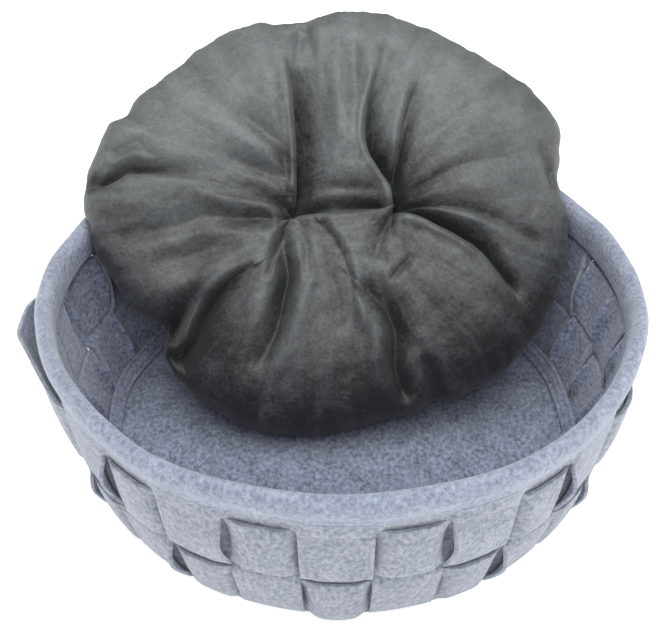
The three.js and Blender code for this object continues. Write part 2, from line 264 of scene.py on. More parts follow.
TUCK = 7.5                      # how far a band is drawn in where a tab's edge hides it
LEAN = 0.28                     # share of the slack lost halfway down, twice that at the bottom
LOOP_MIDDLE = 6.75              # where the loose loop is, in tabs to the left
FELT_LIGHT = "#858991"          # outer side
FELT_DARK = "#484e5b"
FELT_INSIDE_SHADED = "#858ba3"         # painted shade: the inner side, in shadow, is painted bluer than the outer one
FELT_RIM = "#838997"
FELT_RIM_DARK = "#575d6b"
FELT_CUT = "#878b95"            # cut edges show the fibre ends
BANDS = {                       # bottom, top, and the parity of the tabs it lies in front of
    "lower": (8.0, 62.5, 0),
    "upper": (70.5, 130.5, 1),
}
SLIPPED = -6                    # the tab that has slipped behind the upper band


def curve(at, keys, values):
    """Smooth reading of a table: a cubic through its rows, with the slope at each row the
    harmonic mean of the slopes beside it, or none where they differ in sign."""
    keys = np.asarray(keys, float)
    values = np.asarray(values, float)
    shape = (-1,) + (1,) * (values.ndim - 1)
    step = np.diff(keys).reshape(shape)
    slope = np.diff(values, axis=0) / step
    same = slope[:-1] * slope[1:] > 0
    total = np.where(same, slope[:-1] + slope[1:], 1.0)
    inner = np.where(same, 2 * slope[:-1] * slope[1:] / total, 0.0)
    tangent = np.concatenate([slope[:1], inner, slope[-1:]])
    at = np.asarray(at, float)
    low = np.clip(np.searchsorted(keys, at, side="right") - 1, 0, len(keys) - 2)
    width = (keys[low + 1] - keys[low]).reshape(low.shape + (1,) * (values.ndim - 1))
    t = np.clip((at - keys[low]).reshape(width.shape) / width, 0, 1)
    return ((2 * t ** 3 - 3 * t ** 2 + 1) * values[low] + (t ** 3 - 2 * t ** 2 + t) * width
            * tangent[low] + (3 * t ** 2 - 2 * t ** 3) * values[low + 1]
            + (t ** 3 - t ** 2) * width * tangent[low + 1])


def wall_radius(z):
    """Radius of the middle of the wall: it widens quickly at the foot, slowly at the rim."""
    return curve(z, [0, 8, 24, 64, 100, 134, 160, 175],
                 [211, 216, 221.5, 231.5, 237, 240.8, 243.2, 244.2])


def settled(z, degrees):
    """Height after the soft wall has settled under its own weight: it sinks most in front
    of the middle at either side, as a share of its height to the power of 1.6."""
    degrees = (degrees + 180) % 360 - 180
    sunk = curve(degrees, [-180, -110, -77, -58, -46, -33, -12, 0, 12, 34, 50, 62, 76, 98, 180],
                 [0, 2, 0, 0, 3, 8.5, 5.5, 6.5, 5.5, 9.0, 8.0, 6.0, 1.0, 4.0, 0])
    return z - sunk * np.clip(z / 165, 0, 1) ** 1.6


def numbered(position):
    """A position round the basket in tabs, brought to -14 to 14, with 0 in front."""
    return (position + COLUMNS / 2) % COLUMNS - COLUMNS / 2


def in_front(band, column):
    """Whether a band lies in front of the tab of this number."""
    slipped = (band == "upper") & (column == SLIPPED)
    return (column % 2 == BANDS[band][2]) | slipped


def slack(position):
    """How far the upper band stands out: a loop at the left has slipped off its tab and
    hangs loose, and another at the right bulges slightly. Positions are in tabs, and both
    tables are 0 at their ends and beyond."""
    left = curve(position, [-8.6, -8.1, -7.5, -7.0, -6.5, -6.0, -5.5, -5.0, -4.5, -4.0],
                 [0, 4, 14, 25, 26, 17, 9.5, 5, 2, 0])
    return left + curve(position, [4.4, 5.0, 5.7], [0, 4, 0])


def crossing(band, position):
    """For each place along a band: its offset over this tab, over the tab beyond the nearer
    slit, and how far the place lies inside the tab that the band goes in front of."""
    column = np.floor(position + 0.5)
    s = position + 0.5 - column
    level, before, after = (np.where(in_front(band, numbered(column) + step), BAND_OUT, BAND_IN)
                            for step in (0, -1, 1))
    beside = np.where(s < 0.5, before, after)
    return level, beside, np.minimum(s, 1 - s) * np.where(level > beside, 1, -1)


def weave(band, position, loose=1.0):
    """Radial offset of a band round the basket: level over a tab, and half a sine wave,
    0.32 tabs long, where it changes sides, with its middle 0.12 tabs before the slit, in
    front of the tab. Loose is the share of the slack that it follows."""
    level, beside, into = crossing(band, position)
    swing = np.sin(np.pi / 2 * np.clip((into - 0.12) / 0.16, -1, 1))
    offset = np.where(level == beside, level,
                      (BAND_OUT + BAND_IN) / 2 + (BAND_OUT - BAND_IN) / 2 * swing)
    if band == "upper":
        offset = offset + loose * slack(numbered(position))
    return offset


def tucked(band, position):
    """How far a band is drawn in just past a slit, halfway between its edges, where the
    next tab hides it: a bell curve of the way to the slit."""
    level, beside, into = crossing(band, position)
    return np.where(level == beside, 0, TUCK * np.exp(-((into + 0.03) / 0.09) ** 2))


def smoothstep(value, low, high):
    """0 below low and 1 above high, with a cubic in between."""
    t = np.clip((value - low) / (high - low), 0, 1)
    return t * t * (3 - 2 * t)


def hump(share):
    """1 in the middle and 0 at both ends, as a parabola."""
    return 1 - (2 * share - 1) ** 2


def at_slit_top(position):
    """Radial offset where the tabs join above the slits: out over a tab that covers the
    upper band and in over one behind it, with a cubic from one to the other."""
    column = np.floor(position + 0.5).astype(int)
    s = position + 0.5 - column
    here, before, after = (np.where(in_front("upper", column + step), JOIN_IN, JOIN_OUT)
                           for step in (0, -1, 1))
    beside = np.where(s < 0.5, before, after)
    return beside + (here - beside) * smoothstep(np.minimum(s, 1 - s), -0.14, 0.14)


def tab_offset(column, s, z, place):
    """Radial offset of the tabs up the wall at s, the place across each tab, for the mesh
    points numbered by place. Each row of the table is a height with the offset there: behind
    a band one stack inside it, and over a band one stack outside it, with a soft bulge. The
    edge that faces the front stands off, except on the three tabs in front."""
    position = column[:, None] + s - 0.5
    edge = np.abs(2 * s - 1) ** 5
    lifted = LIFT * np.clip(-np.sign(column)[:, None] * (2 * place - 1), 0, 1) ** 5
    lifted *= (np.abs(column) > 1)[:, None]
    # tabs between the loop and the front stay on the wall and don't follow the slack
    held = np.where(position > 0, 1, smoothstep(-position - LOOP_MIDDLE, 0.35, 0.75))
    rows = [(0.6, 0 * position), (3.0, 0 * position)]
    for band, (bottom, top, _) in BANDS.items():
        front = in_front(band, column)[:, None]
        for share, height in ((-1, bottom + 1), (0, (bottom + top) / 2), (1, top - 1)):
            lean = 1 - LEAN * (1 - share)
            under = weave(band, position, loose=held * lean) - STACK - 0.8 * hump(s)
            over = weave(band, position, loose=lean) + STACK
            if share == 0:
                under -= 1.2 * edge + tucked(band, position)
                over += 1.2 * hump(s) + lifted
            rows.append((height, np.where(front, under, over)))
    rows.append((SLIT_TOP, at_slit_top(position)))
    heights, offsets = zip(*rows)
    return curve(z, heights, np.stack(offsets))


def roll_line(count):
    """Middle line of the rim's section, as offset from the wall, height and length so far:
    up the outer leg, over the roll and down to the hem inside, in even steps of its length.
    The table of its points is smoothed by a moving mean with soft ends."""
    out = np.array([1.6, 2.6, 4.6, 4.6, 2.2, -1.6, -5.0, -6.6, -6.0, -4.4])
    height = np.array([SLIT_TOP, 147, 156, 162.5, 167.0, 168.2, 165.4, 158, 148, 139.5])
    length = np.concatenate([[0], np.cumsum(np.hypot(np.diff(out), np.diff(height)))])
    at = np.linspace(0, length[-1], count)
    fine = np.linspace(0, length[-1], 400)
    kernel = np.hanning(41)
    kernel /= kernel.sum()
    soft = []
    for values in (out, height):
        padded = np.pad(np.interp(fine, length, values), 20, mode="reflect", reflect_type="odd")
        soft.append(np.interp(at, fine, np.convolve(padded, kernel, mode="valid")))
    return *soft, at


def make_wall(name, materials):
    """Middle surface of the wall: a grid for each tab, whose top row is the first row of
    the roll and shared with its neighbours, then thickened. The materials are those of the
    outer side, cut edge and inner side, for the wall and then for the roll."""
    across = 14
    rows = 46
    roll_rows = 30
    hem_top = 162
    z = np.concatenate([[0.6, 2.0, 4.0], np.linspace(7, SLIT_TOP, rows - 3)])
    column = np.arange(COLUMNS) - COLUMNS // 2
    # places across a tab lie closer together at its edges
    place = np.linspace(0, 1, across + 1)
    place = place - 0.0175 * np.sin(4 * np.pi * place) - 0.025 * np.sin(2 * np.pi * place)
    uneven = np.random.default_rng(5).normal(0, 1, (COLUMNS, 4))[:, 0]
    # tabs, rows x columns x places
    leaf = np.zeros_like(z)
    for bottom, top, _ in BANDS.values():
        leaf += np.where((z > bottom) & (z < top), hump((z - bottom) / (top - bottom)), 0)
    shut = smoothstep(SLIT_TOP - z, 0, 3)
    wide = wall_radius(z)[:, None, None] * COLUMN_ANGLE
    loose = (1 + 0.2 * uneven) * (np.abs(column) > 1)
    drawn_back = (GAPE * leaf)[:, None, None] * loose[:, None]
    first = (SLIT * shut[:, None, None] + drawn_back * (column > 0)[:, None]) / wide
    last = (SLIT * shut[:, None, None] + drawn_back * (column < 0)[:, None]) / wide
    s = first + (1 - first - last) * place
    offset = np.empty((rows, COLUMNS, across + 1))
    for row in range(rows):
        offset[row] = tab_offset(column, s[row], z[row:row + 1], place)[0]
    angle = TURN + (column[None, :, None] + s - 0.5) * COLUMN_ANGLE
    radius = wall_radius(z)[:, None, None] + offset
    tabs = np.stack([radius * np.sin(angle), -radius * np.cos(angle),
                     settled(z[:, None, None], np.degrees(angle))], axis=-1)
    # roll, rows x stations round
    out, height, length = roll_line(roll_rows)
    position = (column[:, None] + place[:-1] - 0.5).ravel()
    fade = (1 - smoothstep(height, SLIT_TOP, 156)) * (np.arange(roll_rows) < roll_rows / 2)
    ripple = (0.7 * np.sin(5 * position * COLUMN_ANGLE + 1.3)
              + 0.5 * np.sin(11 * position * COLUMN_ANGLE + 0.2)
              + 0.35 * np.sin(23 * position * COLUMN_ANGLE + 2.1))
    sway = smoothstep(height, SLIT_TOP, 160)[:, None] * ripple
    r = (wall_radius(height)[:, None] + out[:, None] + sway * 0.6
         + fade[:, None] * (at_slit_top(position) - out[0]))
    up = height[:, None] + 0.8 * sway * smoothstep(height, 150, 166)[:, None]
    turn = TURN + position * COLUMN_ANGLE
    up = settled(up, np.degrees(turn))
    roll = np.stack([r * np.sin(turn), -r * np.cos(turn), up], axis=-1)
    # points: tabs without their top row, then the roll from the top of the slits
    below = tabs[:-1].reshape(-1, 3)
    number = np.arange(len(below)).reshape(rows - 1, COLUMNS, across + 1)
    round_once = len(below) + np.pad(
        np.arange(roll_rows * COLUMNS * across).reshape(roll_rows, -1), ((0, 0), (0, 1)),
        mode="wrap")
    above = np.stack([round_once[:, c * across:c * across + across + 1]
                      for c in range(COLUMNS)], axis=1)
    faces = quads(np.concatenate([number, above], axis=0)).reshape(-1, 4)
    flat_u = (column[:, None] + place) * TAB_LENGTH
    flat_v = np.concatenate([z[:-1], SLIT_TOP + length]) * 0.001
    corners = np.stack([quads(flat) for flat in np.broadcast_arrays(
        flat_u, flat_v[:, None, None])], axis=-1).reshape(-1, 4, 2)
    # the roll's own material starts above its first rows; its hem hangs in shadow and takes the
    # inner side's material, painted shade
    up_roll = np.arange(rows + roll_rows - 2) - (rows - 1)
    falling = np.concatenate([np.zeros(rows - 1, bool), height[:-1] < hem_top])
    hem = (up_roll > roll_rows / 2) & falling
    parts = np.repeat(np.where(hem, 2, np.where(up_roll > 3, 3, 0)), COLUMNS * across)
    piece = new_piece(name, np.concatenate([below, roll.reshape(-1, 3)]), faces, materials,
                      corners, parts)
    solid = piece.modifiers.new("felt thickness", "SOLIDIFY")
    solid.thickness = FELT * 0.001
    solid.offset = 0
    solid.use_even_offset = True
    solid.material_offset_rim = 1
    solid.material_offset = 2
    soft = piece.modifiers.new("soft cut edge", "BEVEL")
    soft.width = 0.0005
    soft.segments = 2
    soft.limit_method = "ANGLE"
    soft.angle_limit = math.radians(50)
    return piece


wall_felt = felt_material("Felt, outer side", FELT_LIGHT, FELT_DARK, drawn=0.75)
cut_felt = felt_material("Felt, cut edge", FELT_CUT, FELT_RIM_DARK)
# painted shade: the same felt as outside, painted bluer and with a darker dark end, for the faces
# that lie in shadow
shaded_inside_felt = felt_material("Felt, inner side in painted shade", FELT_INSIDE_SHADED, FELT_DEEP, relief=1.3)
rim_felt = felt_material("Felt, rolled rim", FELT_RIM, FELT_RIM_DARK, relief=0.4, seam=0.1445)
wall = make_wall("wall_felt", [wall_felt, cut_felt, shaded_inside_felt, rim_felt, cut_felt, shaded_inside_felt])
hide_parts("rim_and_tabs")

# Seam band: a narrow strip of the same felt, laid over the joint between floor and
# wall on the inside and topstitched along both edges.
SEAM_FOOT = 202.1               # radius of the strip's lower edge
SEAM_LIFT = 1.3                 # of that edge over the floor
SEAM_HEIGHT = 15.0
SEAM_FELT = 3.0
SEAM_LEAN = 0.55                # radians outwards from upright
SEAM_STITCH = 3.4               # of either stitch line from the strip's middle


def carried_round(section, stations, place, first=0.0):
    """A closed section carried round the basket: its points at each station are placed by
    a function of the section's two coordinates and the station's position in tabs. Returns
    the points, the quads, their map on the flat strip and the number of their material:
    0 outside, 1 at the edges, 2 inside."""
    position = first + np.arange(stations) * COLUMNS / stations
    across, up = section[:, 0], section[:, 1]
    radius, height = place(across[None, :], up[None, :], position[:, None])
    angle = TURN + position[:, None] * COLUMN_ANGLE
    height = settled(height, np.degrees(angle))
    points = np.stack([radius * np.sin(angle), -radius * np.cos(angle), height], axis=-1)
    number = np.arange(stations * len(section)).reshape(stations, -1)
    run = np.abs(np.diff(np.vstack([section, section[:1]]), axis=0))
    u = np.arange(stations + 1) * (COLUMNS / stations) * TAB_LENGTH
    v = np.concatenate([[0], np.cumsum(np.hypot(*run.T))]) * 0.001
    # the grid is turned over so that the faces look outwards, then sorted by station again
    faces, *uv = (quads(grid.T).swapaxes(0, 1).reshape(-1, 4) for grid in (
        np.pad(number, ((0, 1), (0, 1)), mode="wrap"), *np.broadcast_arrays(u[:, None], v)))
    inner = np.where(section[:, 0] + np.roll(section[:, 0], -1) < 0, 2, 0)
    parts = np.tile(np.where(run[:, 0] > run[:, 1], 1, inner), stations)
    return points.reshape(-1, 3), faces, np.stack(uv, axis=-1), parts


def seam_place(across, up, position):
    """The strip stands on the floor and leans on the wall; its two stitch lines press it in
    by about a millimetre, and it wavers with the tabs behind it."""
    stitched = np.exp(-((np.abs(up) - SEAM_STITCH) / 0.8) ** 2) * (across < 0)
    waver = 0.7 * np.sin(math.pi * position + 0.6) + 0.5 * np.sin(2.3 * position)
    climb = up + SEAM_HEIGHT / 2
    radius = (SEAM_FOOT + across * math.cos(SEAM_LEAN) + 1.1 * stitched + waver
              + math.sin(SEAM_LEAN) * climb)
    rise = 0.5 + 0.5 * np.sin(1.9 * position + 1.0)
    height = math.cos(SEAM_LEAN) * climb - math.sin(SEAM_LEAN) * across
    return radius, FLOOR_FELT + SEAM_LIFT + rise + height


# painted shade: the strip lies in the shade inside the basket and takes the inner side's bluer
# colour
seam_felt = felt_material("Felt, seam strip", FELT_INSIDE_SHADED, FELT_DEEP)
seam_points, seam_faces, seam_map, seam_parts = carried_round(
    rounded_section(SEAM_FELT, SEAM_HEIGHT, 0.5, (18, 2)), COLUMNS * 12, seam_place)
seam = new_piece("seam_felt", seam_points, seam_faces, [seam_felt] * 3, seam_map, seam_parts)
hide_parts("base_seam_band")

# Two bands woven through the wall: felt strips cut straight, passed in front of every
# second tab and behind the others, their ends joined at the back. The upper one hangs
# in a loose loop at the left, where a tab has slipped behind it.


def band_place(band):
    """The strip's middle follows the weave; where it lies in front of a tab it bulges a
    little between its edges. The loose loop sags and leans back at its lower edge, and
    the lower band bellies out at its lower edge on the tab in front."""
    bottom, top, _ = BANDS[band]
    middle, half = (bottom + top) / 2, (top - bottom) / 2

    def place(across, up, position):
        share = up / half
        offset = weave(band, position) - tucked(band, position) * (1 - share ** 2) ** 2
        s = np.mod(position + 0.5, 1.0)
        level = np.clip((offset - BAND_IN) / (BAND_OUT - BAND_IN), 0, 1)
        bulge = 1.4 * level * hump(s) * (1 - share ** 2)
        loose = slack(numbered(position)) * (band == "upper")
        wave = 0.5 * np.sin(position * 1.7 + 1.0) + 0.4 * np.sin(position * 3.9)
        height = middle + up - 0.04 * loose + 0.3 * wave
        in_middle = np.clip(1 - (numbered(position) / 0.5) ** 2, 0, 1) * (band == "lower")
        belly = 5.0 * in_middle * (1 - share) / 2
        radius = (wall_radius(middle + up) + offset + bulge + belly + across
                  - LEAN * loose * (1 - share))
        return radius, height

    return place


band_felt = felt_material("Felt, woven bands", FELT_LIGHT, FELT_DARK, drawn=0.75)
for band, (bottom, top, _) in BANDS.items():
    section = rounded_section(FELT, top - bottom, 0.6, (18, 3))
    # it starts at the back, where the strip's ends meet
    strip_points, strip_faces, strip_map, strip_parts = carried_round(
        section, COLUMNS * 28, band_place(band), first=-COLUMNS / 2)
    strip = new_piece(f"{band}_band_felt", strip_points, strip_faces,
                      [band_felt, cut_felt, shaded_inside_felt], strip_map, strip_parts)
    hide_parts(f"{band}_band")

# Cushion: a round loose cushion of two discs of short-pile velour, sewn together round
# the edge and filled with fibre. Two stitched points draw the middle in, and the cover
# falls into deep folds between them and the edge. It leans on the back of the rim.
CUSHION_CENTRE = np.array([-9.0, 103.0, 153.0])
CUSHION_TILT = math.radians(46.5)
CROWN = 58.0                    # height of the upper side over the seam
BELLY = 68.0                    # depth of the underside below it
TUFTS = np.array([(-38.0, 3.0), (54.0, 7.0)])
# the seam's outline: degrees round the cushion from its right, and the radius there
EDGE_DEGREES = [0, 10, 16, 23, 31, 39, 50, 66, 79, 93, 97.5, 103, 112, 124, 135, 142, 148, 153,
                158, 163, 170, 178, 187, 199, 207, 214, 221, 236, 250, 268, 285, 295, 300, 304,
                308, 320, 333, 345, 360]
EDGE_RADIUS = [216, 210, 218, 226, 222, 214, 204, 199, 198, 191, 186, 188, 197, 200, 199, 201, 206,
               205, 216, 216, 220, 219, 212, 199, 191, 178, 195, 201, 202, 194, 187, 190, 188,
               195, 199, 207, 213, 215, 216]
# ends of the velour's colour: the mix between them carries painted light and shade as well as
# streaks of the pile
VELOUR_LIGHT = "#575b5c"
VELOUR_DARK = "#0e1112"
# Folds: the line each follows in the plane of the cushion; its depth at the start, middle
# and end; how fast its left and right sides rise; and the ridges beside it, left and right.
FOLDS = [
    # the deepest, up from the left tuft to the notch in the edge
    ([(-36, 2), (-33, 12), (-32, 25), (-32, 43), (-32, 61), (-33, 81), (-34, 99), (-36, 121),
      (-38, 141)], (32, 26, 10), (2, 15), (3.5, 0)),
    ([(-34, 102), (-32, 126), (-29, 152), (-29, 172)], (5, 6, 10), (6, 8), (0, 0)),
    # up from the right tuft
    ([(51, 5), (50, 22), (41, 41), (33, 55), (30, 71), (31, 88), (36, 108), (44, 135)],
     (30, 20, 6), (2.5, 10), (4.5, 0)),
    ([(53, 5), (55, 30), (59, 52), (64, 77), (71, 102), (80, 119)], (26, 14, 5), (3, 10),
     (4.5, 0)),
    ([(57, 8), (71, 38), (83, 70), (97, 89)], (16, 7, 2), (14, 20), (0, 0)),
    ([(59, 8), (78, 23), (101, 35), (117, 42), (143, 48), (163, 49)], (14, 8, 2), (8, 10),
     (0.5, 1)),
    # right tuft to the right edge
    ([(59, 4), (86, 6), (117, 2), (141, -4), (161, -14), (182, -24), (196, -29)], (19, 9, 6),
     (8, 4), (0, 3.5)),
    ([(53, 0), (76, -3), (93, -10), (113, -20), (133, -34), (147, -51), (159, -67), (167, -80)],
     (27, 19, 9), (7, 3.5), (2.5, 5)),
    # between the tufts
    ([(-34, -3), (-17, 0), (9, 3), (35, 4), (51, 3)], (26, 12, 26), (10, 3), (0, 3)),
    ([(-26, 18), (0, 21), (30, 21), (43, 19)], (6, 5, 6), (7, 7), (1, 0)),
    # left tuft to the left edge
    ([(-38, 0), (-47, 9), (-58, 13), (-77, 15), (-99, 19), (-118, 21)], (22, 10, 3), (5, 14),
     (3, 0)),
    ([(-39, -3), (-58, -4), (-82, -5), (-106, -4), (-134, -12), (-164, -19), (-204, -23)],
     (18, 8, 7), (8, 12), (1.5, 1)),
    ([(-64, -25), (-82, -29), (-109, -33), (-134, -41), (-160, -43)], (2, 6, 4), (12, 12),
     (1, 1)),
    ([(-40, 36), (-43, 57), (-59, 72), (-79, 86), (-94, 92)], (14, 9, 2), (7, 12), (2.5, 0)),
    ([(-39, 17), (-47, 29), (-62, 37), (-78, 44), (-93, 51)], (13, 8, 2), (7, 9), (2, 1)),
    # gathers of the left edge
    ([(-116, 30), (-134, 34), (-157, 35), (-177, 35), (-188, 29), (-201, 24), (-214, 21)],
     (3, 14, 17), (4, 8), (1.5, 3)),
    ([(-146, 49), (-158, 51), (-169, 60), (-183, 54), (-195, 46)], (2, 6, 7), (6, 6), (1, 1)),
    ([(-191, 42), (-202, 35), (-207, 29), (-214, 20)], (3, 8, 10), (6, 6), (0, 0)),
    # down from the left tuft
    ([(-36, -5), (-42, -14), (-44, -23), (-49, -37), (-52, -51), (-57, -64)], (16, 10, 3),
     (4, 4), (1.5, 1)),
    ([(-37, -9), (-39, -35), (-36, -55), (-40, -74), (-43, -90), (-49, -109), (-59, -128),
      (-67, -142)], (8, 15, 4), (7, 8), (4, 3.5)),
    ([(-26, -14), (-21, -31), (-20, -48), (-23, -66)], (6, 6, 2), (5, 5), (1, 1)),
    # the lobe at the lower left that folds over the belly
    ([(-69, -50), (-83, -58), (-98, -71), (-110, -86), (-118, -100), (-123, -112), (-132, -121),
      (-146, -127)], (4, 17, 20), (12, 4), (0, 4.5)),
    ([(-120, -70), (-131, -86), (-137, -98), (-145, -110)], (4, 10, 20), (6, 7), (0, 0)),
    # down from the middle and the right tuft
    ([(-7, -13), (4, -26), (13, -45), (19, -71), (20, -109)], (5, 5, 2), (4, 14), (1.5, 0)),
    ([(53, -2), (46, -17), (41, -31), (40, -46)], (16, 7, 3), (6, 7), (2, 2)),
    ([(58, -3), (65, -17), (65, -36)], (8, 4, 1), (5, 5), (0.5, 0.5)),
    ([(69, -41), (60, -51), (50, -63)], (4, 5, 2), (3.5, 3.5), (0.5, 0.5)),
    ([(32, -70), (41, -78), (50, -90), (56, -109), (56, -128), (60, -148), (73, -167)],
     (8, 13, 10), (10, 7), (2.5, 4)),
    ([(77, -117), (83, -129), (90, -140), (96, -157), (102, -172)], (2, 6, 12), (5, 8), (2, 2)),
    # short gathers of the right edge
    ([(185, 58), (193, 45), (200, 26)], (3, 7, 5), (5, 5), (1, 1)),
    ([(175, 11), (176, -3)], (2, 4, 2), (4, 4), (1, 1)),
    ([(151, -118), (162, -128)], (2, 4, 7), (4, 4), (1, 1)),
    ([(138, -130), (148, -142)], (2, 4, 7), (4, 4), (1, 1)),
    # shallow folds of the upper part
    ([(20, 80), (22, 106), (22, 135), (20, 161)], (2, 6, 4), (8, 8), (1.5, 1.5)),
    ([(47, 146), (44, 121), (42, 97)], (4, 4, 1), (7, 7), (1, 1)),
    ([(-23, 172), (-17, 147), (-15, 121)], (5, 4, 1), (5, 6), (1, 1)),
    ([(-4, 146), (-7, 107), (-8, 70)], (3, 3, 1), (12, 12), (0, 0)),
]


def along(line, count=28):
    """A smooth line through a few points: each coordinate is read as a cubic of the
    straight length so far, in even steps."""
    line = np.asarray(line, float)
    length = np.concatenate([[0], np.cumsum(np.hypot(*np.diff(line, axis=0).T))])
    return curve(np.linspace(0, length[-1], count), length, line)


def near_line(points, line):
    """For each point: the vector to it from the nearest place on the line, that place's
    share of the length, and whether the point lies to the left."""
    start, step = line[:-1], np.diff(line, axis=0)
    length = np.hypot(*step.T)
    so_far = np.concatenate([[0], np.cumsum(length)])
    best = np.full((len(points), 2), 1e6)
    share = np.zeros(len(points))
    left = np.zeros(len(points), bool)
    for a, d, n, before in zip(start, step, length, so_far):
        away = points - a
        t = np.clip((away @ d) / (n * n), 0, 1)
        gap = away - t[:, None] * d
        closer = np.sum(gap ** 2, axis=1) < np.sum(best ** 2, axis=1)
        best[closer] = gap[closer]
        share[closer] = ((before + t * n) / so_far[-1])[closer]
        left[closer] = (d[0] * gap[:, 1] - d[1] * gap[:, 0] > 0)[closer]
    return best, share, left


def fold_relief(points):
    """Depth of the folds, height of the ridges and sideways shift at each point. A fold is
    a valley that falls off as exp(-(d/w)^1.4), with a width of its own at either side, in a
    wider and shallower hollow of the filling; where folds meet, the deeper one rules. A
    side narrower than 5 mm rolls over the valley: its ridge moves towards the line."""
    sharp = np.zeros(len(points))
    hollow = np.zeros(len(points))
    ridge = np.zeros(len(points))
    shift = np.zeros((len(points), 2))
    for line, depths, widths, ridges in FOLDS:
        line = along(line)
        reach = 20 + 4 * max(widths)
        low, high = line.min(axis=0) - reach, line.max(axis=0) + reach
        near = np.flatnonzero(np.all((points > low) & (points < high), axis=1))
        gap, share, left = near_line(points[near], line)
        far = np.hypot(*gap.T)
        distance = np.hypot(far, 0.8) - 0.8
        deep = curve(share, [0, 0.5, 1], depths) * smoothstep(1 - share, -0.05, 0.16)
        width = np.where(left, widths[0], widths[1])
        crest = np.where(left, ridges[0], ridges[1]) * deep / max(depths)
        sharp[near] += (deep * np.exp(-(distance / width) ** 1.4)) ** 3
        hollow[near] += (0.32 * deep * np.exp(-(distance / (9 + 1.5 * width)) ** 2)) ** 3
        ridge[near] += 1.3 * crest * np.exp(-((distance - 1.9 * width) / (1.3 * width)) ** 2)
        rolled = far / (1.3 * width)
        over = np.where(width < 5, 0.13 * deep * rolled * np.exp(1 - rolled), 0)
        shift[near] -= gap / np.maximum(far, 1e-6)[:, None] * over[:, None]
    return 0.85 * np.cbrt(sharp) + np.cbrt(hollow), ridge, shift


def pulled(points):
    """Coordinates that follow the pull of the two tufts: with both as foci, the angle of
    the ellipse's rays as a place on a circle, and how far out the ellipse is."""
    middle = TUFTS.mean(axis=0)
    away = points - middle
    focus = np.linalg.norm(TUFTS[1] - TUFTS[0]) / 2
    wave = np.arccosh((away[:, 0] + 1j * away[:, 1]) / focus + 0j)
    out = np.abs(wave.real)
    wide = 1 - np.exp(-(out / 0.7) ** 2)
    return np.stack([wide * np.cos(wave.imag), wide * np.abs(np.sin(wave.imag))
                     * np.sign(away[:, 1]), 0.24 * out], axis=1)


def soft_noise(points, scale, seed, octaves=3):
    """Sum of plane waves in random directions with lengths about the scale, halved in
    length and height for each octave; runs from about -1 to 1."""
    rng = np.random.default_rng(seed)
    total = np.zeros(len(points))
    weight = 0.0
    for octave in range(octaves):
        share = 0.5 ** octave
        for _ in range(9):
            direction = rng.normal(0, 1, points.shape[1])
            direction *= 2 * math.pi / np.linalg.norm(direction)
            wave = points @ direction / (scale * share * rng.uniform(0.7, 1.5))
            total += share * np.sin(wave + rng.uniform(0, 2 * math.pi) + 1.5 * np.sin(0.4 * wave))
        weight += share * 4.5 ** 0.5
    return total / weight / 1.5


def clear_of_basket(points, room=0.8):
    """Keeps the cushion out of the basket: a point inside the floor is raised, and one
    inside the wall or rim moves in or up, whichever is the shorter way."""
    radius = np.hypot(points[:, 0], points[:, 1])
    z = np.maximum(points[:, 2], FLOOR_FELT + 1.2)
    # the tabs reach 8.5 mm in from the wall's line at the lower band, and 13.2 mm above it
    inner = wall_radius(z) - np.where(z < 62, 8.5, 13.2) - room
    rim_top, rim_outside = 170.4 + room, 252.0
    inward = radius - inner
    upward = rim_top - z
    inside = (inward > 0) & (upward > 0) & (radius < rim_outside)
    move_in = inside & (inward < upward)
    factor = np.where(move_in, inner / np.maximum(radius, 1), 1.0)
    return np.stack([points[:, 0] * factor, points[:, 1] * factor,
                     np.where(inside & ~move_in, rim_top, z)], axis=1)


